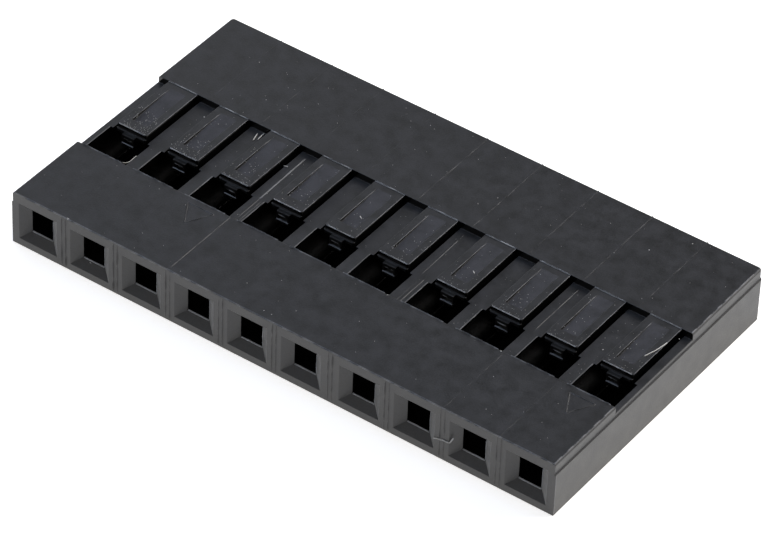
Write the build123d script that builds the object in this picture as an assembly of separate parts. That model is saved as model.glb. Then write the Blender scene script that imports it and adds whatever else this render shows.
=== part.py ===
from build123d import *
import os

# Ten way crimp terminal housing, moulded in one piece and shown with no terminals fitted.
# X runs along the row of ways, the header pins enter at -Y and the wires leave at +Y.
# The housing lies on its plain underside at Z 0, with the origin under its middle.
# Every size is in millimetres.

# Row of ways
ways = 10
pitch = 2.54
# Two mould inserts share the row. In each of them the ways lie closer than the pitch by this
# much, and the joint after the first insert is wider, so that both end ways are in place.
first_insert_ways = 6
insert_shrink = 0.02

# Body
body_length = 14.0
body_height = 2.5
mating_block_length = 3.95
wire_block_length = 4.85
rib_drop = 0.3
parting_drop = 0.5
parting_step = 0.05
shoulder_radius = 0.09
corner_radius = 0.15

# Terminal chambers, open at the wire face
chamber_width = 1.96
floor_thickness = 0.32
roof_thickness = 0.42
front_wall = 0.75
wire_lead_in = 0.12

# Pin entries in the mating face
pin_hole_size = 1.03
funnel_width = 1.86
funnel_height = 1.74
funnel_depth = 0.32

# Latch fingers, which spring from the wire block and reach forward over the chambers
latch_width = 1.42
latch_gap = 0.14
window_length = 1.82
tip_setback = 0.09
latch_drop = 0.03
tip_thickness = 0.2
tip_ledge = 0.08
ledge_thickness = 0.13
tip_corner_radius = 0.06

# Catch nose under each latch tip, which drops in behind the terminal
nose_width = 0.58
nose_reach = 0.26
nose_top_fall = 0.02
nose_drop = 0.36
nose_ramp = 1.1

# Slot across the front of the nose, over a lip that stands forward and slopes down to its edge
slot_width = 0.44
slot_height = 0.2
slot_depth = 0.12
lip_height = 0.1
lip_reach = 0.04
lip_slope = 0.4

# Sunk panel in the top of each latch, flush at the root and deepest near the tip
panel_width = 0.76
panel_depth = 0.14
panel_tip_margin = 0.5
panel_root_margin = 0.32

# Places that follow
body_width = ways * pitch
mating_face = -body_length / 2
wire_face = body_length / 2
rib_top = body_height - rib_drop
parting_height = body_height - parting_drop
chamber_top = body_height - roof_thickness
chamber_height = chamber_top - floor_thickness
chamber_axis = (floor_thickness + chamber_top) / 2
chamber_front = mating_face + front_wall
funnel_bottom = mating_face + funnel_depth
window_start = mating_face + mating_block_length
window_end = window_start + window_length
latch_root = wire_face - wire_block_length
latch_tip = window_end + tip_setback
latch_top = body_height - latch_drop
ledge_tip = latch_tip - tip_ledge
ledge_top = latch_top - tip_thickness
ledge_bottom = ledge_top - ledge_thickness
nose_front = latch_tip - nose_reach
nose_top = ledge_top - nose_top_fall
nose_bottom = ledge_bottom - nose_drop
lip_front = nose_front - lip_reach
lip_top = nose_bottom + lip_height
well_width = latch_width + 2 * latch_gap
overcut = 0.5


def way_centre(way):
    """Place of a way along X, with the ways counted from 1 at -X."""
    nominal = (way - (ways + 1) / 2) * pitch
    if way <= first_insert_ways:
        return nominal - (way - 1) * insert_shrink
    return nominal + (ways - way) * insert_shrink


def block(width, start, end, low, high):
    """Plain block centred on X, between two places along Y and two heights."""
    centre = Location((0, (start + end) / 2, (low + high) / 2))
    return centre * Box(width, end - start, high - low)


def prism(points, width):
    """Side outline, given as places along Y and heights, made solid across X."""
    outline = Plane.YZ * make_face(Polyline(*points, close=True))
    return extrude(outline, amount=width / 2, both=True)


def frustum(start, start_size, end, end_size):
    """Four sided funnel about the chamber axis, from one place along Y to another."""
    sections = []
    for place, size in ((start, start_size), (end, end_size)):
        across = Plane((0, place, chamber_axis), x_dir=(1, 0, 0), z_dir=(0, -1, 0))
        sections.append(across * Rectangle(*size))
    return loft(sections)


def rounded_plan(width, low, high):
    """Slab as long as the body, with both corners at the wire face rounded."""
    slab = block(width, mating_face, wire_face, low, high)
    wire_corners = slab.edges().filter_by(Axis.Z).group_by(Axis.Y)[-1]
    return fillet(wire_corners, corner_radius)


def body_shell():
    """Outer form: full height blocks at both faces, with a lower deck of ribs between them."""
    lower = rounded_plan(body_width, 0, parting_height)
    upper = rounded_plan(body_width - 2 * parting_step, parting_height, body_height)
    upper -= block(body_width, window_start, latch_root, rib_top, body_height + overcut)
    shoulders = upper.edges().filter_by(Axis.Y).group_by(Axis.Z)[-1]
    return lower + fillet(shoulders, shoulder_radius)


def pin_entry():
    """Funnel and square hole that guide one header pin into its chamber."""
    hole = (pin_hole_size, pin_hole_size)
    funnel = frustum(mating_face, (funnel_width, funnel_height), funnel_bottom, hole)
    passage = frustum(funnel_bottom, hole, chamber_front + overcut, hole)
    return funnel + passage


def chamber():
    """Space for one terminal, with a bevelled mouth where its wire leaves."""
    room_size = (chamber_width, chamber_height)
    mouth_size = (chamber_width + 2 * wire_lead_in, chamber_height + 2 * wire_lead_in)
    room = frustum(chamber_front, room_size, wire_face + overcut, room_size)
    mouth = frustum(wire_face - wire_lead_in, room_size, wire_face, mouth_size)
    return room + mouth


def latch_opening():
    """Window in front of one latch, and the narrower well that the latch lies in."""
    window = block(chamber_width, window_start, window_end, chamber_axis, body_height)
    well = block(well_width, window_end, latch_root, chamber_axis, body_height)
    return window + well


def latch_finger():
    """Spring finger with a ledge under its tip, which a tool can lift."""
    side = [
        (latch_root + overcut, latch_top),
        (latch_tip, latch_top),
        (latch_tip, ledge_top),
        (ledge_tip, ledge_top),
        (ledge_tip, ledge_bottom),
        (latch_root, chamber_top),
        (latch_root + overcut, chamber_top),
    ]
    finger = prism(side, latch_width)
    upright_edges = finger.edges().filter_by(Axis.Z)
    tip_corners = upright_edges.group_by(Axis.Y)[0] + upright_edges.group_by(Axis.Y)[1]
    return fillet(tip_corners, tip_corner_radius)


def catch_nose():
    """Narrow catch under the tip: steep in front, with a slot over its lip, and ramped behind."""
    side = [
        (latch_tip, nose_top),
        (nose_front, nose_top),
        (nose_front, lip_top),
        (lip_front, lip_top - lip_slope * lip_reach),
        (lip_front, nose_bottom),
        (lip_front + nose_ramp, ledge_bottom),
    ]
    slot = [
        (nose_front - overcut, lip_top + slot_height),
        (nose_front - overcut, lip_top - lip_slope * overcut),
        (nose_front + slot_depth, lip_top + lip_slope * slot_depth),
        (nose_front + slot_depth, lip_top + slot_height),
    ]
    return prism(side, nose_width) - prism(slot, slot_width)


def sunk_panel():
    """Wedge that comes out of the latch's top: flush at the root and deepest near the tip."""
    deep_end = latch_tip + panel_tip_margin
    flush_end = latch_root - panel_root_margin
    side = [
        (deep_end, latch_top),
        (deep_end, latch_top - panel_depth),
        (flush_end, latch_top),
    ]
    return prism(side, panel_width)


def latch():
    """One complete latch."""
    return latch_finger() + catch_nose() - sunk_panel()


def housing():
    """The whole moulding."""
    shell = body_shell()
    hollow = pin_entry() + chamber() + latch_opening()
    finger = latch()
    for way in range(1, ways + 1):
        place = Location((way_centre(way), 0, 0))
        shell -= place * hollow
        shell += place * finger
    return shell


os.makedirs("parts", exist_ok=True)
export_step(housing(), "parts/housing.step")
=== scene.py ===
"""Dressed model of a ten way crimp connector housing, a single black nylon moulding.

The moulding keeps the exact form of its solid. Here its edges are rounded, its surfaces get
their finish, and the fine marks that the mould leaves are laid on it, with the lint that the
studio left there. Lengths are metres, and MM turns a size in millimetres into one.
"""

import logging
import math
from dataclasses import dataclass, replace
from enum import Enum

import bmesh
import bpy
import numpy as np
from mathutils import Matrix, Vector


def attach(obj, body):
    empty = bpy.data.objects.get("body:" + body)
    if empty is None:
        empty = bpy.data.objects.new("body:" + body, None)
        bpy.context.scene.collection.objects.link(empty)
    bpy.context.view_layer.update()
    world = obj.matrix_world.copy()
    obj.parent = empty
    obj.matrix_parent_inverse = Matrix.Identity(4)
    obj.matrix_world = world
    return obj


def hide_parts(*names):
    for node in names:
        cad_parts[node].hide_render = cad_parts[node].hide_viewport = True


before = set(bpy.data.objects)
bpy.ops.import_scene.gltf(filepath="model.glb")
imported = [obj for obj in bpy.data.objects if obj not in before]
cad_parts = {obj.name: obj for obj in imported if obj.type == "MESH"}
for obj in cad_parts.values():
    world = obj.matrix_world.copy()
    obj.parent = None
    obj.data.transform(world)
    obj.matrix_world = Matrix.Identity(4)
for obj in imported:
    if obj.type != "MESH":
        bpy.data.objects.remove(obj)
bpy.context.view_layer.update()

log = logging.getLogger("housing_scene")
MM = 0.001
NODE = "housing"
BODY = "root"

Sockets = dict[str | int, object]
Point = tuple[float, float, float]
Span = tuple[float, float]

# Places on the moulding, in millimetres as in its source.
WAYS = 10
PITCH = 2.54
FIRST_INSERT_WAYS = 6
INSERT_SHRINK = 0.02
MATING_FACE = -7.0
BLOCK_EDGE = -3.05
LATCH_TIP = -1.14
LATCH_ROOT = 2.15
WIRE_FACE = 7.0
RIB_TOP = 2.2
LATCH_TOP = 2.47
BODY_TOP = 2.5
HALF_WINDOW = 0.98
HALF_LATCH = 0.71
HALF_TIP = 0.64
HALF_PANEL = 0.38
FUNNEL_BOTTOM = -6.68
NOSE_FRONT = -1.4
SHOULDER = 12.57

# How far a fine line or a crumb starts below its face, in millimetres, so that no gap shows.
SINK = 0.001

UP: Point = (0, 0, 1)
FORWARD: Point = (0, -1, 0)
FORWARD_AND_UP: Point = (0, -0.5, 0.866)


def linear(colour: str) -> tuple[float, float, float, float]:
    """Turns an sRGB hex colour into the linear colour that a shader takes.

    Args:
        colour: six hex digits after a hash sign.

    Returns:
        Red, green, blue and an alpha of 1.
    """
    channels = [int(colour[i:i + 2], 16) / 255 for i in (1, 3, 5)]
    bent = [c / 12.92 if c <= 0.04045 else ((c + 0.055) / 1.055) ** 2.4 for c in channels]
    return (*bent, 1.0)


def add_node(
    tree: bpy.types.NodeTree,
    kind: str,
    settings: Sockets | None = None,
    inputs: Sockets | None = None,
) -> bpy.types.Node:
    """Adds one shader node with its settings and links.

    Args:
        tree: the node tree that gets it.
        kind: the node's type name, without the ShaderNode in front.
        settings: properties of the node itself.
        inputs: a value, or an output socket to link, for each named or numbered input.

    Returns:
        The new node.
    """
    node = tree.nodes.new("ShaderNode" + kind)
    for name, value in (settings or {}).items():
        setattr(node, name, value)
    for name, value in (inputs or {}).items():
        socket = node.inputs[name]
        if isinstance(value, bpy.types.NodeSocket):
            tree.links.new(value, socket)
        else:
            socket.default_value = value
    return node


def new_tree(name: str) -> tuple[bpy.types.Material, bpy.types.NodeTree]:
    """Makes a node material with nothing in it.

    Args:
        name: what the material is called.

    Returns:
        The material and its empty node tree.
    """
    material = bpy.data.materials.new(name)
    material.use_nodes = True
    material.node_tree.nodes.clear()
    return material, material.node_tree


class Zone(Enum):
    """Finish that one part of the mould leaves on the moulding; the value counts material slots.
    The cored finish carries painted shade, and the panel and flank finishes carry painted light.
    """

    ERODED = 0
    CORED = 1
    PANEL = 2
    NOSE = 3
    FLANK = 4


@dataclass(frozen=True)
class MouldedNylon:
    """Black glass-filled nylon, with the surface that its part of the steel mould gives it.

    It gives the eye a dull charcoal with a slow cloudiness where the melt flowed, a fine grain
    from the steel, and a soft brightening towards grazing angles and along edges. Polished
    cores leave it smooth, and eroded steel leaves it matte. The cored finish is painted darker
    as shade so that the chambers look black, and the panel and flank finishes are painted paler
    as light.
    """

    name: str
    dark: str
    light: str
    roughness_low: float
    roughness_high: float
    grain_height: float
    edge_radius: float = 0.0
    ior: float = 1.53
    cloud_size: float = 0.6 * MM
    # The real grain is nearer 0.01 mm, which is too fine to show, so it is drawn coarser.
    grain_size: float = 0.06 * MM
    grain_in_colour: float = 0.6
    # Where the noises, added up, are darkest and lightest.
    darkest: float = 0.6
    lightest: float = 1.0
    # The cloud noise keeps between these for nearly all of the surface.
    cloud_span: Span = (0.3, 0.7)

    def material(self) -> bpy.types.Material:
        """Builds the material.

        Returns:
            The material, with its edges rounded by the shader where the finish asks for it.
        """
        material, tree = new_tree(self.name)
        place = add_node(tree, "TexCoord").outputs["Object"]
        clouds = add_node(tree, "TexNoise", inputs={
            "Vector": place, "Scale": 1 / self.cloud_size, "Detail": 4.0, "Roughness": 0.6,
        }).outputs[0]
        grain = add_node(tree, "TexNoise", inputs={
            "Vector": place, "Scale": 1 / self.grain_size, "Detail": 3.0, "Roughness": 0.65,
        }).outputs[0]
        both = add_node(tree, "Math", {"operation": "MULTIPLY_ADD"}, {
            0: grain, 1: self.grain_in_colour, 2: clouds,
        }).outputs[0]
        colour = add_node(tree, "ValToRGB", inputs={0: both})
        low, high = colour.color_ramp.elements
        low.position, low.color = self.darkest, linear(self.dark)
        high.position, high.color = self.lightest, linear(self.light)
        roughness = add_node(tree, "MapRange", inputs={
            "Value": clouds, "From Min": self.cloud_span[0], "From Max": self.cloud_span[1],
            "To Min": self.roughness_low, "To Max": self.roughness_high,
        }).outputs[0]
        bump_inputs = {"Height": grain, "Strength": 1.0, "Distance": self.grain_height}
        if self.edge_radius > 0:
            rounded = add_node(tree, "Bevel", {"samples": 8}, {"Radius": self.edge_radius})
            bump_inputs["Normal"] = rounded.outputs[0]
        bump = add_node(tree, "Bump", inputs=bump_inputs).outputs[0]
        shader = add_node(tree, "BsdfPrincipled", inputs={
            "Base Color": colour.outputs[0], "Roughness": roughness,
            "IOR": self.ior, "Normal": bump,
        }).outputs[0]
        add_node(tree, "OutputMaterial", inputs={"Surface": shader})
        return material


# Each finish has its name, its darkest and lightest colour, its lowest and highest roughness,
# the height of its grain and the radius that its edges are rounded by.
FINISHES = {
    Zone.ERODED: MouldedNylon(
        "nylon_eroded_matte", "#0b0b0c", "#232326", 0.42, 0.51, 0.0052 * MM, 0.035 * MM
    ),
    # The cored finish is smooth, and its colour is painted darker and its index lower than the
    # eroded nylon's: painted shade that keeps the chambers and the ledges under the latch tips
    # black.
    Zone.CORED: MouldedNylon(
        "nylon_cored_smooth_painted_shade", "#060606", "#080808", 0.12, 0.16, 0.0002 * MM, 0.03 * MM, ior=1.42
    ),
    # The panel's colour is painted paler than the tops', as painted light for the light that its
    # slope catches.
    Zone.PANEL: MouldedNylon(
        "nylon_latch_panel_painted_light", "#1a1a1e", "#323238", 0.48, 0.6, 0.004 * MM, 0.015 * MM
    ),
    Zone.NOSE: MouldedNylon(
        "nylon_catch_satin", "#0e0e0e", "#131313", 0.34, 0.42, 0.0008 * MM, 0.02 * MM
    ),
    # The flank of each funnel on the side of the last way is painted pale, a painted sheen for the
    # light that it catches at grazing angles.
    Zone.FLANK: MouldedNylon(
        "nylon_funnel_flank_painted_sheen", "#6a6968", "#8a8987", 0.72, 0.8, 0.004 * MM, 0.02 * MM
    ),
}
# The fine lines take the eroded finish, but are too small to have their edges rounded.
MARKS_FINISH = replace(FINISHES[Zone.ERODED], name="nylon_mould_marks", edge_radius=0.0)
# Flash is painted greyer than the body as an edge highlight, and the feathers along the latch tips,
# latch roots, pin holes and catch slots are painted palest as their highlights.
FLASH_HIGHLIGHT_FINISH = replace(MARKS_FINISH, name="nylon_grey_painted_highlight", dark="#393a3d", light="#626468")
PALE_HIGHLIGHT_FINISH = replace(MARKS_FINISH, name="nylon_pale_painted_highlight", dark="#7a7b7e", light="#b0b2b6")


@dataclass(frozen=True)
class Lint:
    """Pale household dust and fibre, dry and dull, which reads as bright flecks on the black."""

    name: str
    colour: str

    def material(self) -> bpy.types.Material:
        """Builds the material.

        Returns:
            The material.
        """
        material, tree = new_tree(self.name)
        shader = add_node(tree, "BsdfPrincipled", inputs={
            "Base Color": linear(self.colour), "Roughness": 0.8, "IOR": 1.4,
        }).outputs[0]
        add_node(tree, "OutputMaterial", inputs={"Surface": shader})
        return material


@dataclass(frozen=True)
class StudioPaper:
    """Seamless white paper under the object: white to the eye, and it keeps the soft shadow."""

    name: str = "paper_white"
    colour: str = "#f2f2f2"
    glow_tint: str = "#fffcf7"
    glow: float = 0.72
    mirrored_glow: float = 1.28

    def material(self) -> bpy.types.Material:
        """Builds the material.

        Returns:
            The paper, which glows by one strength to the camera and by another in reflections.
        """
        material, tree = new_tree(self.name)
        path = add_node(tree, "LightPath").outputs
        mirrored = add_node(tree, "Math", {"operation": "MAXIMUM"}, {
            0: path["Is Transmission Ray"], 1: path["Is Glossy Ray"],
        }).outputs[0]
        seen = add_node(tree, "Math", {"operation": "MULTIPLY"}, {
            0: path["Is Camera Ray"], 1: self.glow,
        }).outputs[0]
        strength = add_node(tree, "Math", {"operation": "MULTIPLY_ADD"}, {
            0: mirrored, 1: self.mirrored_glow, 2: seen,
        }).outputs[0]
        glow = add_node(tree, "Emission", inputs={
            "Color": linear(self.glow_tint), "Strength": strength,
        }).outputs[0]
        paper = add_node(tree, "BsdfDiffuse", inputs={"Color": linear(self.colour)}).outputs[0]
        both = add_node(tree, "AddShader", inputs={0: paper, 1: glow}).outputs[0]
        add_node(tree, "OutputMaterial", inputs={"Surface": both})
        return material


@dataclass
class Skin:
    """Faces and edges of a closed mesh as arrays, with places in metres."""

    mesh: bpy.types.Mesh

    def __post_init__(self) -> None:
        """Reads the arrays out of the mesh."""
        sides = self.read(self.mesh.polygons, "loop_total", 1, int)
        loop_edge = self.read(self.mesh.loops, "edge_index", 1, int)
        self.normals = self.read(self.mesh.polygons, "normal", 3)
        self.centres = self.read(self.mesh.polygons, "center", 3)
        self.areas = self.read(self.mesh.polygons, "area", 1)
        faces = np.repeat(np.arange(len(sides)), sides)
        self.pairs = faces[np.argsort(loop_edge, kind="stable")].reshape(-1, 2)

    @staticmethod
    def read(
        rows: bpy.types.bpy_prop_collection, name: str, width: int, kind: type = float
    ) -> np.ndarray:
        """Reads one property of every row of a mesh.

        Args:
            rows: vertices, edges, faces or loops.
            name: the property.
            width: how many numbers it holds.
            kind: type of those numbers.

        Returns:
            One number or one array of numbers for each row.
        """
        values = np.empty(len(rows) * width, kind)
        rows.foreach_get(name, values)
        return values.reshape(-1, width) if width > 1 else values

    def turns(self) -> np.ndarray:
        """Angle between the two faces at each edge, acos(n.m) for their normals n and m."""
        first, second = self.normals[self.pairs[:, 0]], self.normals[self.pairs[:, 1]]
        return np.arccos(np.clip((first * second).sum(1), -1, 1))


def way_place(way: int) -> float:
    """Tells where a way lies along X, by the two inserts of the moulding's source.

    Args:
        way: its number, counted from 1 at -X.

    Returns:
        The place of its middle, in millimetres.
    """
    nominal = (way - (WAYS + 1) / 2) * PITCH
    if way <= FIRST_INSERT_WAYS:
        return nominal - (way - 1) * INSERT_SHRINK
    return nominal + (WAYS - way) * INSERT_SHRINK


ALL: Span = (-math.inf, math.inf)


@dataclass(frozen=True)
class Region:
    """Faces that share a finish, told by spans of their place and of their normal.

    Places are in millimetres, and aside counts from the middle of the nearest way. The parts
    of the normal along +X, +Y and +Z are right, back and up, and sideways is the size of right.
    """

    zone: Zone
    x: Span = ALL
    y: Span = ALL
    z: Span = ALL
    aside: Span = ALL
    right: Span = ALL
    back: Span = ALL
    up: Span = ALL
    sideways: Span = ALL

    def picks(self, facts: dict[str, np.ndarray]) -> np.ndarray:
        """Tells which faces lie in the region.

        Args:
            facts: a number for each face, under the name of each span.

        Returns:
            True for each face whose numbers all lie inside their spans.
        """
        inside = [
            (getattr(self, name)[0] < values) & (values < getattr(self, name)[1])
            for name, values in facts.items()
        ]
        return np.all(inside, axis=0)


# Between the outer walls of the first and the last chamber.
CHAMBERS: Span = (-12.5, 12.5)

# What departs from the eroded finish, or goes back to it. A later region wins over an earlier.
REGIONS = (
    # Everything behind the funnels, between the ends and above the underside, with the cored finish
    # and its painted shade.
    Region(Zone.CORED, x=CHAMBERS, y=(-6.69, 6.99), z=(0.01, math.inf)),
    # Tops of the blocks, ribs and latches.
    Region(Zone.ERODED, z=(2.15, math.inf), up=(0.7, math.inf)),
    # Ledge under each latch tip, given the cored finish as painted shade.
    Region(Zone.CORED, x=CHAMBERS, y=(-1.3, -1.1), z=(2.15, 2.3), up=(0.7, math.inf)),
    # Sloping panel in each latch, painted paler as light.
    Region(Zone.PANEL, x=CHAMBERS, z=(2.3, math.inf), up=(0.99, 0.9999)),
    # Flank of each funnel on the side of the last way, painted pale as a sheen.
    Region(Zone.FLANK, y=(-math.inf, -6.69), right=(-math.inf, -0.3), back=(-math.inf, -0.3)),
    # Front and both sides of each catch nose.
    Region(Zone.NOSE, aside=(-1, 0.32), y=(-1.5, LATCH_TIP), z=(1.75, 2.28)),
    Region(Zone.NOSE, aside=(-1, 0.32), y=(-1.5, 0), z=(1.5, 2.28), sideways=(0.9, math.inf)),
    # Lip of the first three catch noses, which shines in the photograph.
    Region(Zone.CORED, x=(-math.inf, -5), y=(-1.6, -1.2), z=(1.8, 2), up=(0.85, 0.99)),
)


@dataclass
class Moulding:
    """The whole moulding, made from the CAD node with a finish for each part of its skin."""

    name: str = "moulding"
    weld: float = 0.0001 * MM
    flat_angle: float = math.radians(0.6)
    sharp_angle: float = math.radians(50)
    # A larger face is shaded flat to its edges. The facets of roundings are smaller.
    facet_area: float = 0.1 * MM * MM

    def build(self) -> bpy.types.Object:
        """Welds a copy of the CAD node's triangles, joins its flat faces and finishes them.

        Returns:
            The finished piece, which stands for the CAD node.
        """
        mesh = self.welded(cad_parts[NODE].data)
        self.join_flats(mesh)
        skin = Skin(mesh)
        for zone in Zone:
            mesh.materials.append(FINISHES[zone].material())
        mesh.polygons.foreach_set("material_index", self.zones(skin))
        mesh.polygons.foreach_set("use_smooth", np.ones(len(mesh.polygons), bool))
        sharp = mesh.attributes.new("sharp_edge", "BOOLEAN", "EDGE")
        sharp.data.foreach_set("value", self.creases(skin))
        piece = bpy.data.objects.new(self.name, mesh)
        bpy.context.scene.collection.objects.link(piece)
        return piece

    def welded(self, source: bpy.types.Mesh) -> bpy.types.Mesh:
        """Copies loose triangles and merges the corners that share a place.

        Corners whose places agree when counted in whole weld distances become one vertex.

        Args:
            source: mesh of loose triangles.

        Returns:
            The new mesh, closed where the triangles met.
        """
        places = Skin.read(source.vertices, "co", 3)
        corners = Skin.read(source.loops, "vertex_index", 1, int)
        _, first, merged = np.unique(
            np.round(places / self.weld).astype(int),
            axis=0, return_index=True, return_inverse=True,
        )
        triangles = merged.ravel()[corners].reshape(-1, 3)
        mesh = bpy.data.meshes.new(self.name)
        mesh.from_pydata(places[first], [], triangles)
        mesh.validate()
        return mesh

    def join_flats(self, mesh: bpy.types.Mesh) -> None:
        """Joins triangles that lie in one plane into whole faces.

        Args:
            mesh: the welded moulding, which is changed.
        """
        work = bmesh.new()
        work.from_mesh(mesh)
        bmesh.ops.dissolve_limit(
            work, angle_limit=self.flat_angle, verts=work.verts, edges=work.edges,
            delimit={"NORMAL"},
        )
        work.to_mesh(mesh)
        work.free()

    def zones(self, skin: Skin) -> np.ndarray:
        """Tells the finish of each face from where it lies and which way it looks.

        Args:
            skin: the welded moulding.

        Returns:
            The value of its Zone for each face.
        """
        x, y, z = (skin.centres / MM).T
        right, back, up = skin.normals.T
        ways = np.array([way_place(way) for way in range(1, WAYS + 1)])
        facts = {
            "x": x, "y": y, "z": z, "aside": np.abs(x[:, None] - ways).min(1),
            "right": right, "back": back, "up": up, "sideways": np.abs(right),
        }
        zones = np.full(len(x), Zone.ERODED.value)
        for region in REGIONS:
            zones[region.picks(facts)] = region.zone.value
        return zones

    def creases(self, skin: Skin) -> np.ndarray:
        """Tells which edges break the smooth shading, so that only small facets share it."""
        flat = (skin.areas[skin.pairs] > self.facet_area).any(1)
        return skin.turns() > np.where(flat, self.flat_angle, self.sharp_angle)


@dataclass(frozen=True)
class Grid:
    """Surface laid out as rows and columns of points, whose columns may join up in a ring."""

    points: np.ndarray
    ring: bool = False

    def quads(self, first: int) -> np.ndarray:
        """Joins each point to its neighbours in the next row and the next column.

        Args:
            first: number that the grid's first point has in its mesh.

        Returns:
            Four corner numbers for each quad.
        """
        rows, columns = self.points.shape[:2]
        row, column = np.indices((rows - 1, columns if self.ring else columns - 1))
        after = (column + 1) % columns
        here, below = row * columns, (row + 1) * columns
        quads = np.stack([here + column, here + after, below + after, below + column], axis=-1)
        return first + quads.reshape(-1, 4)


def piece_of(name: str, grids: list[Grid], material: bpy.types.Material) -> bpy.types.Object:
    """Makes one piece of several surfaces, smooth all over, which rides on the moulding.

    Args:
        name: what the piece is called.
        grids: its surfaces, with their points in millimetres.
        material: what it is made of.

    Returns:
        The new piece.
    """
    firsts = np.cumsum([0] + [grid.points.size // 3 for grid in grids[:-1]])
    points = np.concatenate([grid.points.reshape(-1, 3) for grid in grids]) * MM
    quads = np.concatenate([grid.quads(first) for grid, first in zip(grids, firsts)])
    mesh = bpy.data.meshes.new(name)
    mesh.from_pydata(points, [], quads, shade_flat=False)
    mesh.materials.append(material)
    piece = bpy.data.objects.new(name, mesh)
    bpy.context.scene.collection.objects.link(piece)
    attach(piece, BODY)
    return piece


def stepped(path: tuple[Point, ...], step: float) -> tuple[np.ndarray, np.ndarray, np.ndarray]:
    """Walks along straight legs in even steps.

    Args:
        path: the corners of the path.
        step: length of one step.

    Returns:
        The places, the unit tangents there and the distances walked.
    """
    corners = np.array(path, float)
    marks = np.concatenate([[0], np.cumsum(np.linalg.norm(np.diff(corners, axis=0), axis=1))])
    walked = np.linspace(0, marks[-1], max(int(marks[-1] / step), 4))
    places = np.stack([np.interp(walked, marks, corners[:, axis]) for axis in range(3)], axis=1)
    tangents = np.gradient(places, walked, axis=0)
    return places, tangents / np.linalg.norm(tangents, axis=1, keepdims=True), walked


def to_nearer_end(walked: np.ndarray) -> np.ndarray:
    """Distance from each place on a path to the nearer of its two ends."""
    return np.minimum(walked, walked[-1] - walked)


@dataclass(frozen=True)
class Bead:
    """Kind of fine raised line, in millimetres: its section, and how its lines vary.

    Up points out of the face, and the seeds of its lines are counted from one seed.
    """

    width: float
    height: float
    unevenness: float = 0.35
    seed: int = 0
    up: Point = UP


@dataclass(frozen=True)
class Ridge:
    """Fine raised line on a flat face, in millimetres."""

    path: tuple[Point, ...]
    bead: Bead
    number: int = 0
    step: float = 0.05
    columns: int = 7
    # How many steps the noise is averaged over.
    averaged: int = 5
    # Length over which the line fades out at both ends.
    fade: float = 0.1
    # Least and greatest factor that the noise puts on the height.
    rise_span: Span = (0.05, 2.0)

    def grid(self) -> Grid:
        """Surface p(s) + b w t / 2 + u (h k(s) cos(pi t / 2)^2 - d), for t from -1 to 1.

        Here p(s) is the path on the face, u points out of the face and b across the line,
        w and h are its width and height, and d is how far it starts below the face. The
        factor k(s) is 1 with slow noise on it, and falls to 0 at both ends.

        Returns:
            The surface, in millimetres.
        """
        places, tangents, walked = stepped(self.path, self.step)
        up = np.array(self.bead.up, float)
        across = np.cross(up, tangents)
        rng = np.random.default_rng(self.bead.seed + self.number)
        noise = rng.normal(size=len(walked) + self.averaged - 1)
        noise = np.convolve(noise, np.ones(self.averaged) / self.averaged ** 0.5, "valid")
        ends = np.clip(to_nearer_end(walked) / self.fade, 0, 1)
        uneven = np.clip(1 + self.bead.unevenness * noise, *self.rise_span)
        rise = self.bead.height * ends * uneven
        t = np.linspace(-1, 1, self.columns)
        shape = np.cos(math.pi * t / 2) ** 2
        points = (
            places[:, None]
            + across[:, None] * (self.bead.width * t / 2)[None, :, None]
            + up * (rise[:, None] * shape - SINK)[..., None]
        )
        return Grid(points[:, ::-1])


def at_each_way(start: Point, end: Point, bead: Bead) -> list[Ridge]:
    """Repeats one straight line at every way.

    Args:
        start: where the line starts, with its X counted from the middle of the way.
        end: where it ends, counted the same way.
        bead: kind of line.

    Returns:
        The lines, from the first way to the last.
    """
    ridges = []
    for way in range(1, WAYS + 1):
        middle = way_place(way)
        path = tuple((middle + x, y, z) for x, y, z in (start, end))
        ridges.append(Ridge(path, bead, way))
    return ridges


@dataclass(frozen=True)
class Thread:
    """Loose fibre, in millimetres: a thin tube along a bent path, pointed at both ends."""

    path: tuple[Point, ...]
    radius: float
    step: float = 0.02
    columns: int = 8
    # How many steps the corners are averaged over.
    averaged: int = 13
    # Length over which both ends thin out, and the least that the taper counts as.
    taper: float = 0.08
    thinnest: float = 0.02
    # No fibre runs along this direction, so the rings can be squared up on it.
    reference: Point = (0.3, 0.2, 1.0)

    def grid(self) -> Grid:
        """Surface p(s) + r(s) (b cos a + n sin a), with r(s) falling to 0 at both ends.

        Here p(s) is the path with its corners averaged out, and b and n lie across it.

        Returns:
            The surface, in millimetres.
        """
        places, _, walked = stepped(self.path, self.step)
        beyond = self.averaged // 2
        padded = np.pad(places, ((beyond, beyond), (0, 0)), "edge")
        window = np.ones(self.averaged) / self.averaged
        eased = np.stack([np.convolve(column, window, "valid") for column in padded.T], axis=1)
        tangents = np.gradient(eased, axis=0)
        tangents /= np.linalg.norm(tangents, axis=1, keepdims=True)
        across = np.cross(tangents, self.reference)
        across /= np.linalg.norm(across, axis=1, keepdims=True)
        other = np.cross(tangents, across)
        thinning = np.clip(to_nearer_end(walked) / self.taper, self.thinnest, 1) ** 0.5
        angle = np.linspace(0, 2 * math.pi, self.columns, endpoint=False)[:, None]
        ring = across[:, None] * np.cos(angle) + other[:, None] * np.sin(angle)
        return Grid(eased[:, None] + ring * (self.radius * thinning)[:, None, None], ring=True)


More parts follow.
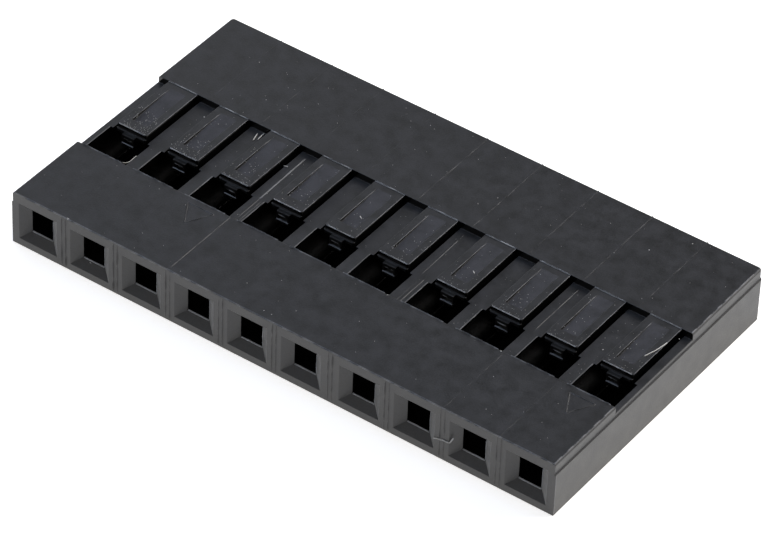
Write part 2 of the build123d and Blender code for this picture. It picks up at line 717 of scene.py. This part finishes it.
@dataclass(frozen=True)
class Speck:
    """Crumb of dust, in millimetres: a low dome with an uneven rim."""

    place: Point
    radius: float
    seed: int
    up: Point = UP
    rows: int = 4
    columns: int = 9
    # Least and greatest factor on the radius along the rim, and the height as a share of it.
    rim_span: Span = (0.6, 1.4)
    steepness: float = 0.6
    # No crumb lies on a face that looks this way, so its spokes can be squared up on it.
    reference: Point = (0.36, 0.48, 0.8)

    def grid(self) -> Grid:
        """Surface c + r q(a) (e cos a + f sin a) v + u (h (1 - v^2) - d), for v from 0.05 to 1.

        The rim's factor q(a) is noise about 1, e and f lie in the face with normal u, and
        the height h is a share of the radius r. The crumb starts d below the face.

        Returns:
            The surface, in millimetres.
        """
        rng = np.random.default_rng(self.seed)
        up = np.array(self.up, float)
        first = np.cross(up, self.reference)
        first /= np.linalg.norm(first)
        angle = np.linspace(0, 2 * math.pi, self.columns, endpoint=False)[:, None]
        rim = self.radius * rng.uniform(*self.rim_span, self.columns)[:, None]
        spoke = first * np.cos(angle) + np.cross(up, first) * np.sin(angle)
        v = np.linspace(1, 0.05, self.rows)[:, None, None]
        height = self.steepness * self.radius * (1 - v ** 2) - SINK
        return Grid(np.array(self.place) + spoke * rim * v + up * height, ring=True)


# Lines along three of the ribs: X and Y where each starts and ends, its height and its seed.
RIB_LINES = (
    ((-5.12, -2.95), (-5.13, -1.18), 0.012, 41),
    ((-4.98, -2.95), (-4.98, -1.3), 0.01, 42),
    ((2.67, -2.95), (2.67, -1.2), 0.014, 44),
    ((2.52, -2.95), (2.52, -1.2), 0.008, 45),
    ((2.41, -1.02), (2.35, 1.89), 0.012, 46),
    ((7.64, -1.2), (7.63, 1.95), 0.014, 47),
)

# Triangles in front of ways 3 and 10: X and Y of their three corners, and their seed.
TRIANGLES = (
    ((-6.97, -3.34), (-5.71, -3.34), (-6.32, -4.42), 73),
    ((10.81, -3.38), (11.96, -3.38), (11.36, -4.42), 91),
)


@dataclass
class MouldMarks:
    """Lines that the joints between the mould's inserts leave, and two engraved triangles."""

    # Lines on the front block, faint after every way but these.
    faint: Bead = Bead(0.055, 0.003)
    clear: Bead = Bead(0.055, 0.0045)
    clear_ways: tuple[int, ...] = (8, 9)
    strong: Bead = Bead(0.055, 0.016)
    strong_way: int = 3
    # Lines on the rear block, clearer after these ways.
    rear: Bead = Bead(0.055, 0.0045, seed=20)
    clear_rear: Bead = Bead(0.055, 0.006, seed=20)
    clear_rear_ways: tuple[int, ...] = (5, 6, 7, 8)
    # How far the lines on the blocks stop short of the edges.
    edge_margin: float = 0.02
    rib_width: float = 0.05
    # Pairs of lines on the webs, with the gap in a pair, their start and how short they stop.
    web: Bead = Bead(0.06, 0.03, seed=60, up=FORWARD)
    web_gap: float = 0.19
    web_start: float = 0.04
    web_top_margin: float = 0.06
    triangle_width: float = 0.07
    triangle_height: float = 0.02

    def build(self) -> bpy.types.Object:
        """Builds every mark.

        Returns:
            One piece with all of them.
        """
        ridges = self.top_joints() + self.rib_joints() + self.web_joints() + self.triangles()
        return piece_of("mould_marks", [ridge.grid() for ridge in ridges], MARKS_FINISH.material())

    def joint(self, way: int) -> float:
        """Place along X of the joint between a way and the next one."""
        return (way_place(way) + way_place(way + 1)) / 2

    def top_joints(self) -> list[Ridge]:
        """Draws the joints across both blocks.

        Returns:
            The line on the front and on the rear block for each joint. The clearest is in
            front after way 3, and those near the last way are easier to see than the rest.
        """
        front_kinds = {way: self.clear for way in self.clear_ways} | {self.strong_way: self.strong}
        ridges = []
        for way in range(1, WAYS):
            x, margin = self.joint(way), self.edge_margin
            front = ((x, MATING_FACE + margin, BODY_TOP), (x, BLOCK_EDGE, BODY_TOP))
            rear = ((x, LATCH_ROOT + margin, BODY_TOP), (x, WIRE_FACE - margin, BODY_TOP))
            rear_kind = self.clear_rear if way in self.clear_rear_ways else self.rear
            ridges.append(Ridge(front, front_kinds.get(way, self.faint), way))
            ridges.append(Ridge(rear, rear_kind, way))
        return ridges

    def rib_joints(self) -> list[Ridge]:
        """Joints along three of the ribs."""
        return [
            Ridge(((*start, RIB_TOP), (*end, RIB_TOP)), Bead(self.rib_width, height, seed=seed))
            for start, end, height, seed in RIB_LINES
        ]

    def web_joints(self) -> list[Ridge]:
        """Draws the pairs of upright lines on the webs between the funnels.

        Returns:
            Two lines for each web.
        """
        ridges = []
        for way in range(1, WAYS):
            for side in (-1, 1):
                x = self.joint(way) + side * self.web_gap / 2
                top = BODY_TOP - self.web_top_margin
                path = ((x, MATING_FACE, self.web_start), (x, MATING_FACE, top))
                ridges.append(Ridge(path, self.web, 2 * way + side))
        return ridges

    def triangles(self) -> list[Ridge]:
        """Draws the outlines of the two triangles, which point to the mating face.

        Returns:
            One closed line for each triangle.
        """
        ridges = []
        for left, right, point, seed in TRIANGLES:
            path = tuple((*corner, BODY_TOP) for corner in (left, right, point, left))
            bead = Bead(self.triangle_width, self.triangle_height, seed=seed)
            ridges.append(Ridge(path, bead))
        return ridges


# The feathers are real ridges; their grey and pale colours are painted edge highlights.
@dataclass
class Flash:
    """Ragged feather of nylon along the edges where the mould's parts closed.

    Each kind of line has its width, height, unevenness and first seed, and where its face
    doesn't look up, the direction out of that face. A small number added to the place of an
    edge sets a line a hair off it, or stops it short of a corner, in millimetres.
    """

    mating: Bead = Bead(0.06, 0.024, 1.1, 100, FORWARD_AND_UP)
    window: Bead = Bead(0.06, 0.024, 0.7, 100)
    shoulder: Bead = Bead(0.06, 0.01, 1.5, 112)
    corner: Bead = Bead(0.05, 0.006, 0.4, 99, (1, 0, 0))
    rib: Bead = Bead(0.07, 0.035, 0.1, 43)
    window_side: Bead = Bead(0.045, 0.03, 0.2, 150)
    latch_side: Bead = Bead(0.03, 0.014, 0.4, 180)
    panel_side: Bead = Bead(0.024, 0.006, 0.7, 190)
    tip: Bead = Bead(0.04, 0.013, 3.0, 119, FORWARD_AND_UP)
    root: Bead = Bead(0.045, 0.009, 0.5, 159, (0, -0.707, 0.707))
    hole_floor: Bead = Bead(0.06, 0.03, 0.4, 170, (0, -0.6, 0.8))
    hole_side: Bead = Bead(0.05, 0.01, 0.4, 250, (-0.6, -0.8, 0))
    slot: Bead = Bead(0.03, 0.012, 0.7, 229, FORWARD)

    def build(self) -> list[bpy.types.Object]:
        """Builds the feathers.

        Returns:
            The piece painted palest as edge highlights, and the greyer one, whose colour is also a
            painted edge highlight.
        """
        pale_lines = self.tip_edges() + self.root_edges() + self.hole_edges() + self.slot_edges()
        grey_lines = self.ragged_edges() + self.crisp_edges()
        return [
            piece_of("flash_pale_highlight", [ridge.grid() for ridge in pale_lines], PALE_HIGHLIGHT_FINISH.material()),
            piece_of("flash", [ridge.grid() for ridge in grey_lines], FLASH_HIGHLIGHT_FINISH.material()),
        ]

    def ragged_edges(self) -> list[Ridge]:
        """Draws the broken feathers.

        Returns:
            One line along the mating face, one along the front end of each window, and two
            along the shoulder beside the last way.
        """
        end = WAYS * PITCH / 2 - 0.1
        y, z = MATING_FACE + 0.012, BODY_TOP - 0.004
        ridges = [Ridge(((-end, y, z), (end, y, z)), self.mating)]
        y, z = BLOCK_EDGE + 0.005, BODY_TOP
        ridges += at_each_way((-HALF_WINDOW, y, z), (HALF_WINDOW, y, z), self.window)
        x, z = SHOULDER, BODY_TOP - 0.002
        blocks = ((MATING_FACE + 0.05, BLOCK_EDGE), (LATCH_ROOT, WIRE_FACE - 0.2))
        for number, (start, stop) in enumerate(blocks):
            ridges.append(Ridge(((x, start, z), (x, stop, z)), self.shoulder, number))
        return ridges

    def crisp_edges(self) -> list[Ridge]:
        """Draws the even feathers.

        Returns:
            A tall line on the fourth rib, one up the corner beside the last way, and one
            beside each window, each latch and each latch's panel.
        """
        x, y = WAYS * PITCH / 2, MATING_FACE + 0.03
        left, right, inner = -HALF_WINDOW - 0.015, HALF_LATCH - 0.012, -HALF_PANEL - 0.015
        return [
            Ridge(((-5.13, -1.18, RIB_TOP), (-5.19, 1.85, RIB_TOP)), self.rib),
            Ridge(((x, y, 0.05), (x, y, 1.96)), self.corner),
            *at_each_way(
                (left, BLOCK_EDGE + 0.02, RIB_TOP), (left, -1.24, RIB_TOP), self.window_side
            ),
            *at_each_way(
                (right, LATCH_TIP + 0.08, LATCH_TOP), (right, LATCH_ROOT - 0.02, LATCH_TOP),
                self.latch_side,
            ),
            *at_each_way(
                (inner, LATCH_TIP + 0.55, LATCH_TOP), (inner, LATCH_ROOT - 0.4, LATCH_TOP),
                self.panel_side,
            ),
        ]

    def tip_edges(self) -> list[Ridge]:
        """Broken feather along each latch tip, between its rounded corners."""
        y, z = LATCH_TIP + 0.01, LATCH_TOP - 0.003
        return at_each_way((-HALF_TIP, y, z), (HALF_TIP, y, z), self.tip)

    def root_edges(self) -> list[Ridge]:
        """Thin line over the step at each latch root."""
        y, z = LATCH_ROOT, BODY_TOP - 0.012
        return at_each_way((-HALF_LATCH, y, z), (HALF_LATCH, y, z), self.root)

    def hole_edges(self) -> list[Ridge]:
        """Draws the lips of the pin holes, painted pale as their highlights, just in front of the
        funnels' bottoms.

        Returns:
            One line along the lower edge of each hole, and one up its edge towards the last
            way.
        """
        left, right = -0.5, 0.51
        y, z = FUNNEL_BOTTOM - 0.005, 0.69
        lower = at_each_way((left, y, z), (right, y, z), self.hole_floor)
        y = FUNNEL_BOTTOM - 0.01
        return lower + at_each_way((right, y, 0.72), (right, y, 1.7), self.hole_side)

    def slot_edges(self) -> list[Ridge]:
        """Fine line along the upper edge of each catch nose's slot."""
        return at_each_way((-0.21, NOSE_FRONT, 2.095), (0.21, NOSE_FRONT, 2.095), self.slot)


# Fibres, and last two slivers on the third rib, each resting on the face or edge below it.
FIBRES = (
    Thread(((11.87, -0.05, 2.485), (12.05, 0.54, 2.49), (12.15, 1.2, 2.485)), 0.022),
    Thread(
        ((7.24, -7.015, 0.84), (7.5, -7.02, 0.94), (7.8, -7.02, 1.0), (8.02, -7.02, 0.98),
         (8.21, -7.02, 1.38)), 0.026,
    ),
    Thread(((3.99, 0.11, 2.485), (4.2, -0.04, 2.485)), 0.018),
    Thread(((-1.31, 0.09, 2.485), (-1.09, -0.05, 2.485)), 0.018),
    Thread(
        ((-10.47, -3.01, 2.5), (-10.37, -2.89, 2.42), (-10.34, -2.65, 2.36),
         (-10.4, -2.31, 2.3), (-10.46, -2.05, 2.22)), 0.01,
    ),
    Thread(((-5.62, 0.95, 2.2), (-5.5, 1.0, 2.225), (-5.36, 1.01, 2.22)), 0.02),
    Thread(((-7.46, 1.45, 2.22), (-7.58, 1.95, 2.24)), 0.022),
    Thread(((-7.35, 1.6, 2.22), (-7.37, 2.12, 2.25)), 0.022),
)

# Crumbs that can be told apart in the photograph: X, Y and radius.
BLOCK_CRUMBS = (
    (-9.96, -6.98, 0.06), (-2.29, -5.77, 0.02), (-0.84, -6.65, 0.025), (-0.48, -6.65, 0.025),
    (0.13, -5.92, 0.02), (-10.03, 5.3, 0.025), (-8.38, 3.55, 0.02), (9.75, 6.55, 0.03),
    (8.64, 5.21, 0.025), (7.67, 4.23, 0.02), (2.3, 4.2, 0.02), (7.5, -3.07, 0.035),
    (2.29, -3.07, 0.03),
)
LATCH_CRUMBS = (
    (-9.67, 1.22, 0.03), (-9.65, -0.9, 0.02), (10.45, -0.63, 0.025), (12.37, 1.63, 0.02),
)
FUNNEL_CRUMB = Speck((-9.07, -6.74, 0.62), 0.035, seed=199, up=(0, -0.743, 0.669))


class Column(Enum):
    """What a bed of fine dust is centred on."""

    WAY = "any way"
    FIRST_WAYS = "mostly the first ways"
    RIB = "the rib after a way"


@dataclass(frozen=True)
class Bed:
    """Kind of place that the fine dust lies on, in millimetres."""

    share: float
    column: Column
    half_width: float
    start: float
    end: float
    level: float
    crowding: float = 1.0

    def along(self, chance: float) -> float:
        """Place along Y, start + (end - start) u^c for a chance u, crowded to the start."""
        return self.start + (self.end - self.start) * chance ** self.crowding


# Each bed has its share of the specks, what it is centred on and half its width, where it
# starts and ends along Y, and its height.
BEDS = (
    Bed(0.06, Column.WAY, 1.2, -6.9, -3.15, BODY_TOP),
    Bed(0.1, Column.WAY, 1.2, 2.25, 6.8, BODY_TOP),
    Bed(0.16, Column.WAY, 0.6, -1.05, 2.0, LATCH_TOP),
    Bed(0.6, Column.FIRST_WAYS, 0.66, -1.1, 0.2, LATCH_TOP, crowding=2.0),
    Bed(0.08, Column.RIB, 0.2, -2.9, 1.9, RIB_TOP),
)


@dataclass
class Dust:
    """Fibres and crumbs that lie on the housing in the photograph, and finer dust over it."""

    strewn: int = 760
    seed: int = 7
    crumb_seed: int = 200
    fine_seed: int = 300
    fine_radii: Span = (0.008, 0.017)
    # The larger this is, the more of the latch tips' dust lies on the first ways.
    lean: float = 1.7

    def build(self) -> list[bpy.types.Object]:
        """Builds the fibres and the crumbs.

        Returns:
            One piece of each.
        """
        fibre = Lint("lint_fibre", "#cfccc6").material()
        crumb = Lint("dust_crumb", "#b0aeaa").material()
        specks = self.crumbs() + self.fine_dust()
        return [
            piece_of("fibres", [thread.grid() for thread in FIBRES], fibre),
            piece_of("crumbs", [speck.grid() for speck in specks], crumb),
        ]

    def crumbs(self) -> list[Speck]:
        """Lays the crumbs that can be told apart.

        Returns:
            The crumbs on the blocks and the latches, and last the one in a funnel.
        """
        placed = [((x, y, BODY_TOP), radius) for x, y, radius in BLOCK_CRUMBS]
        placed += [((x, y, LATCH_TOP), radius) for x, y, radius in LATCH_CRUMBS]
        specks = [
            Speck(place, radius, self.crumb_seed + number)
            for number, (place, radius) in enumerate(placed)
        ]
        return [*specks, FUNNEL_CRUMB]

    def fine_dust(self) -> list[Speck]:
        """Strews dust too fine to place by eye over the blocks, ribs and latches.

        Returns:
            The specks. Every speck draws a place along each bed, also those it doesn't use.
        """
        rng = np.random.default_rng(self.seed)
        specks = []
        for number in range(self.strewn):
            way = int(rng.integers(1, WAYS + 1))
            early_way = 1 + int(WAYS * rng.uniform() ** self.lean)
            spread, radius = rng.uniform(-1, 1), rng.uniform(*self.fine_radii)
            chosen = rng.choice(len(BEDS), p=[bed.share for bed in BEDS])
            chances = rng.uniform(size=len(BEDS))
            bed, chance = BEDS[chosen], chances[chosen]
            middle = {
                Column.WAY: way_place(way),
                Column.FIRST_WAYS: way_place(early_way),
                Column.RIB: way_place(min(way, WAYS - 1)) + PITCH / 2,
            }[bed.column]
            place = (middle + bed.half_width * spread, bed.along(chance), bed.level)
            specks.append(Speck(place, radius, self.fine_seed + number))
        return specks


@dataclass(frozen=True)
class SoftLamp:
    """Square soft lamp, told by where it stands round the object, in degrees and metres."""

    name: str
    azimuth: float
    elevation: float
    away: float
    size: float
    power: float
    tint: str

    def build(self, target: Vector) -> None:
        """Hangs the lamp and turns it towards the object.

        Args:
            target: the place that it lights.
        """
        lamp = bpy.data.lights.new(self.name, "AREA")
        lamp.shape = "SQUARE"
        lamp.size = self.size
        lamp.energy = self.power
        lamp.color = linear(self.tint)[:3]
        holder = bpy.data.objects.new(self.name, lamp)
        bpy.context.scene.collection.objects.link(holder)
        back = direction(math.radians(self.azimuth), math.radians(self.elevation))
        holder.location = target + back * self.away
        holder.rotation_euler = back.to_track_quat("Z", "Y").to_euler()


# Each lamp has its name, azimuth, elevation, distance, size, power in watts and tint.
LAMPS = (
    SoftLamp("lamp_left", -90, 70, 0.30, 0.16, 0.313, "#d1e2ff"),
    SoftLamp("lamp_front_left", -33, 39, 0.30, 0.20, 0.142, "#ffffff"),
    SoftLamp("lamp_back_right", 150, 38, 0.30, 0.20, 0.89, "#fffcfa"),
    SoftLamp("lamp_back_left", 228, 18, 0.20, 0.133, 0.0615, "#fafcff"),
)


@dataclass
class Studio:
    """Floor, soft lamps, surroundings and the camera."""

    target: Point = (0.223 * MM, -0.239 * MM, 0.87 * MM)
    azimuth: float = math.radians(34.293)
    elevation: float = math.radians(40.367)
    roll: float = math.radians(2.3705)
    distance: float = 191.34 * MM
    lens: float = 232.588
    sensor: float = 36.0
    # The camera sees from the distance divided by this to the distance times this.
    clip_span: float = 50.0
    floor_size: float = 1.2
    # The floor lies a hair below the underside, so that the two never share a plane.
    floor_drop: float = 0.005 * MM
    room_light: float = 0.02
    room_tint: str = "#fffefb"

    def build(self) -> None:
        """Builds the studio."""
        self.floor()
        for lamp in LAMPS:
            lamp.build(Vector(self.target))
        self.surroundings()
        self.camera()

    def floor(self) -> None:
        """Lays the paper, a flat square under the object."""
        half, z = self.floor_size / 2, -self.floor_drop
        corners = np.array([(-half, -half, z), (half, -half, z), (half, half, z), (-half, half, z)])
        mesh = bpy.data.meshes.new("floor")
        mesh.from_pydata(corners, [], [(0, 1, 2, 3)])
        floor = bpy.data.objects.new("floor", mesh)
        bpy.context.scene.collection.objects.link(floor)
        mesh.materials.append(StudioPaper().material())

    def surroundings(self) -> None:
        """Sets a dim room that the camera sees as white."""
        world = bpy.data.worlds.new("room")
        bpy.context.scene.world = world
        world.use_nodes = True
        tree = world.node_tree
        tree.nodes.clear()
        seen = add_node(tree, "LightPath").outputs["Is Camera Ray"]
        dim = {"Color": linear(self.room_tint), "Strength": self.room_light}
        bright = {"Color": linear("#ffffff"), "Strength": 1.0}
        room = add_node(tree, "Background", inputs=dim).outputs[0]
        white = add_node(tree, "Background", inputs=bright).outputs[0]
        mixed = add_node(tree, "MixShader", inputs={0: seen, 1: room, 2: white}).outputs[0]
        add_node(tree, "OutputWorld", inputs={"Surface": mixed})

    def camera(self) -> None:
        """Places the camera where the photographer stood, with a long lens."""
        data = bpy.data.cameras.new("camera")
        data.lens = self.lens
        data.sensor_width = self.sensor
        data.clip_start = self.distance / self.clip_span
        data.clip_end = self.distance * self.clip_span
        camera = bpy.data.objects.new("camera", data)
        bpy.context.scene.collection.objects.link(camera)
        back = direction(self.azimuth, self.elevation)
        level_right = Vector((math.cos(self.azimuth), math.sin(self.azimuth), 0))
        right = Matrix.Rotation(self.roll, 3, back) @ level_right
        up = back.cross(right)
        place = Vector(self.target) + back * self.distance
        axes = Matrix((right, up, back)).transposed()
        camera.matrix_world = Matrix.Translation(place) @ axes.to_4x4()
        bpy.context.scene.camera = camera


def direction(azimuth: float, elevation: float) -> Vector:
    """Unit vector from the object towards a place seen at that azimuth and elevation."""
    flat = math.cos(elevation)
    return Vector((math.sin(azimuth) * flat, -math.cos(azimuth) * flat, math.sin(elevation)))


def main() -> None:
    """Builds the object and its studio."""
    logging.basicConfig(level=logging.INFO, format="%(message)s")
    moulding = Moulding().build()
    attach(moulding, BODY)
    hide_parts(NODE)
    pieces = [moulding, MouldMarks().build(), *Flash().build(), *Dust().build()]
    for piece in pieces:
        log.info("%s: %d faces", piece.name, len(piece.data.polygons))
    Studio().build()
    bpy.context.scene.view_settings.view_transform = "Standard"


if __name__ == "__main__":
    main()
